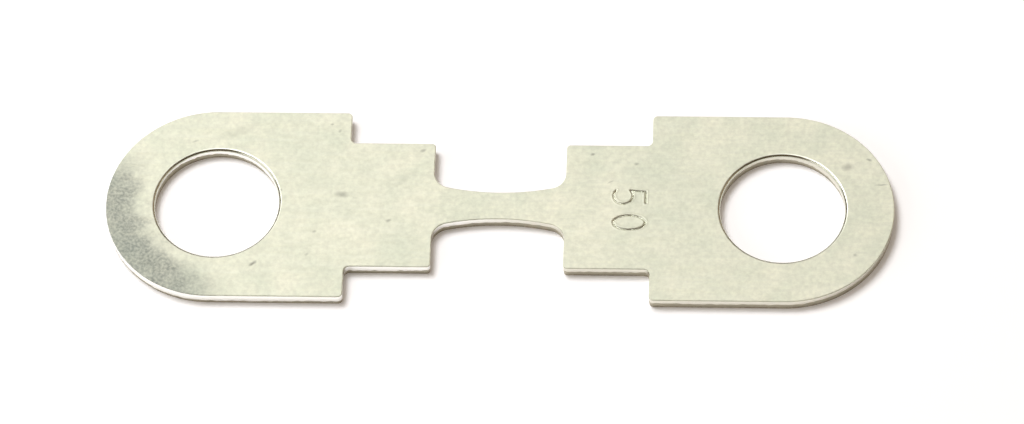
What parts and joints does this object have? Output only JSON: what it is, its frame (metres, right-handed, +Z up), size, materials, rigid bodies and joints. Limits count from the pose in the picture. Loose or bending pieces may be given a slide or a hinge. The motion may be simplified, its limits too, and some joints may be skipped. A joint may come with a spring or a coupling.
{
  "type": "strip fuse",
  "caption": "Flat bolt-down strip fuse with round-ended fixing eyes, stepped tabs and a waisted melting neck, blanked from bright zinc sheet.",
  "frame": {"origin": "centre of the strip's underside, midway between the fixing holes", "axes": "+X along the strip, through both fixing holes, towards the end whose tab is stamped in the visual model; +Y across the strip in its plane; +Z up out of the top face, the side with the rolled edge"},
  "size_m": [0.0418, 0.0116, 0.0008],
  "materials": {
    "zinc_sheet": "bright rolled zinc sheet with a faint warm cast, fine stray scratches and sheared edges, dull and mottled at one end"
  },
  "bodies": {
    "root": {"fuse_strip": "zinc_sheet"}
  },
  "joints": []
}
